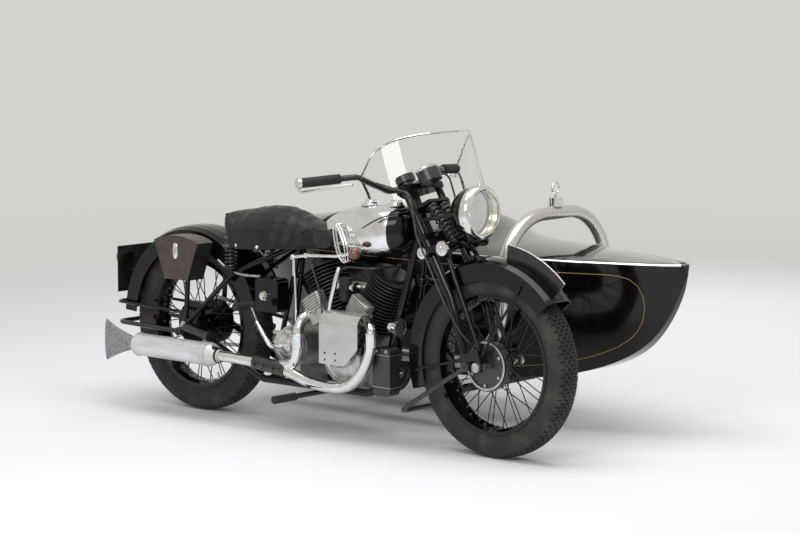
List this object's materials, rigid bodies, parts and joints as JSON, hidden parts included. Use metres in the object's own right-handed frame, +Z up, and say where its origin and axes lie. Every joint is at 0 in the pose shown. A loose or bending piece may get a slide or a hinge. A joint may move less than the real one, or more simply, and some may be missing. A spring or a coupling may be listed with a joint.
{
  "type": "motorcycle with sidecar",
  "caption": "Classic motorcycle outfit: a rigid cradle frame with a V-twin engine and leading-link spring fork, and a boat-shaped sidecar under a tubular arch.",
  "frame": {"origin": "on the ground under the middle of the outfit's bounding box", "axes": "+X forward along the machine, +Y to the left, where the sidecar stands, +Z up"},
  "size_m": [2.305, 1.658, 1.103],
  "materials": {
    "aluminium": "satin, cast and turned",
    "arch_paint": "light grey enamel",
    "black_enamel": "gloss black enamel",
    "cast_iron": "black heat-proof paint",
    "chrome": "polished",
    "crankcase_alloy": "cast, matte",
    "glass": "clear",
    "leather": "worn black leather",
    "red_lens": "clear red",
    "rubber": "matte",
    "satin_steel": "satin",
    "tool_box_paint": "dark brown enamel, satin",
    "tyre_rubber": "worn block tread"
  },
  "bodies": {
    "chassis": {"arch_cap": "chrome", "battery_box": "black_enamel", "carburettor": "aluminium", "crankcase": "crankcase_alloy", "cylinders": "cast_iron", "exhaust_pipes": "chrome", "filler_caps": "chrome", "footrests": "rubber", "frame": "black_enamel", "gear_change": "chrome", "gearbox": "aluminium", "horn": "chrome", "kick_starter": "chrome", "knee_grips": "rubber", "magneto": "black_enamel", "magneto_shield": "aluminium", "oil_tank": "black_enamel", "petrol_tank": "chrome", "primary_case": "black_enamel", "rear_axle": "satin_steel", "rear_chain": "satin_steel", "rear_mudguard": "black_enamel", "rear_plate": "black_enamel", "saddle": "leather", "saddle_springs": "black_enamel", "sidecar_axle": "satin_steel", "sidecar_chassis": "arch_paint", "sidecar_deck": "black_enamel", "sidecar_fittings": "black_enamel", "sidecar_hull": "black_enamel", "sidecar_mudguard": "black_enamel", "sidecar_screen": "glass", "sidecar_seat": "leather", "silencer": "satin_steel", "tail_lamp": "red_lens", "toolboxes": "tool_box_paint", "valve_covers": "aluminium"},
    "steering": {"fork_legs": "black_enamel", "spring_fork": "black_enamel", "front_axle": "satin_steel", "front_brake_plate": "satin_steel", "fork_springs": "black_enamel", "handlebar": "chrome", "grips": "rubber", "headlamp_shell": "black_enamel", "headlamp_rim": "chrome", "headlamp_glass": "glass", "speedometer": "chrome", "front_mudguard": "black_enamel", "control_cables": "black_enamel"},
    "front_wheel": {"front_wheel": "black_enamel", "front_tyre": "tyre_rubber"},
    "rear_wheel": {"rear_wheel": "black_enamel", "rear_tyre": "tyre_rubber"},
    "sidecar_wheel": {"sidecar_wheel": "black_enamel", "sidecar_tyre": "tyre_rubber"},
    "rear_stand": {"rear_stand": "chrome"},
    "front_stand": {"front_stand": "black_enamel"},
    "toolbox_lid_right": {"toolbox_lid_right": "tool_box_paint"},
    "toolbox_lid_left": {"toolbox_lid_left": "tool_box_paint"}
  },
  "joints": [
    {"name": "steering", "type": "hinge", "parent": "chassis", "child": "steering", "pos_m": [0.8825, -0.38703, 0], "axis": [-0.4955, 0, 0.8686], "range_deg": [-30, 30]},
    {"name": "front_wheel_spin", "type": "hinge", "parent": "steering", "child": "front_wheel", "pos_m": [0.7725, -0.38703, 0.336], "axis": [0, 1, 0], "continuous": true},
    {"name": "rear_wheel_spin", "type": "hinge", "parent": "chassis", "child": "rear_wheel", "pos_m": [-0.7275, -0.38703, 0.343], "axis": [0, 1, 0], "continuous": true},
    {"name": "sidecar_wheel_spin", "type": "hinge", "parent": "chassis", "child": "sidecar_wheel", "pos_m": [-0.5575, 0.76297, 0.336], "axis": [0, 1, 0], "continuous": true},
    {"name": "rear_stand_fold", "type": "hinge", "parent": "chassis", "child": "rear_stand", "pos_m": [-0.7365, -0.38703, 0.3205], "axis": [0, -1, 0], "range_deg": [0, 90]},
    {"name": "front_stand_fold", "type": "hinge", "parent": "steering", "child": "front_stand", "pos_m": [0.7335, -0.38703, 0.336], "axis": [0, -1, 0], "range_deg": [0, 58]},
    {"name": "toolbox_lid_right_open", "type": "hinge", "parent": "chassis", "child": "toolbox_lid_right", "pos_m": [-0.6835, -0.50363, 0.706], "axis": [-1, 0, 0], "range_deg": [0, 100]},
    {"name": "toolbox_lid_left_open", "type": "hinge", "parent": "chassis", "child": "toolbox_lid_left", "pos_m": [-0.6835, -0.27043, 0.706], "axis": [1, 0, 0], "range_deg": [0, 100]}
  ]
}
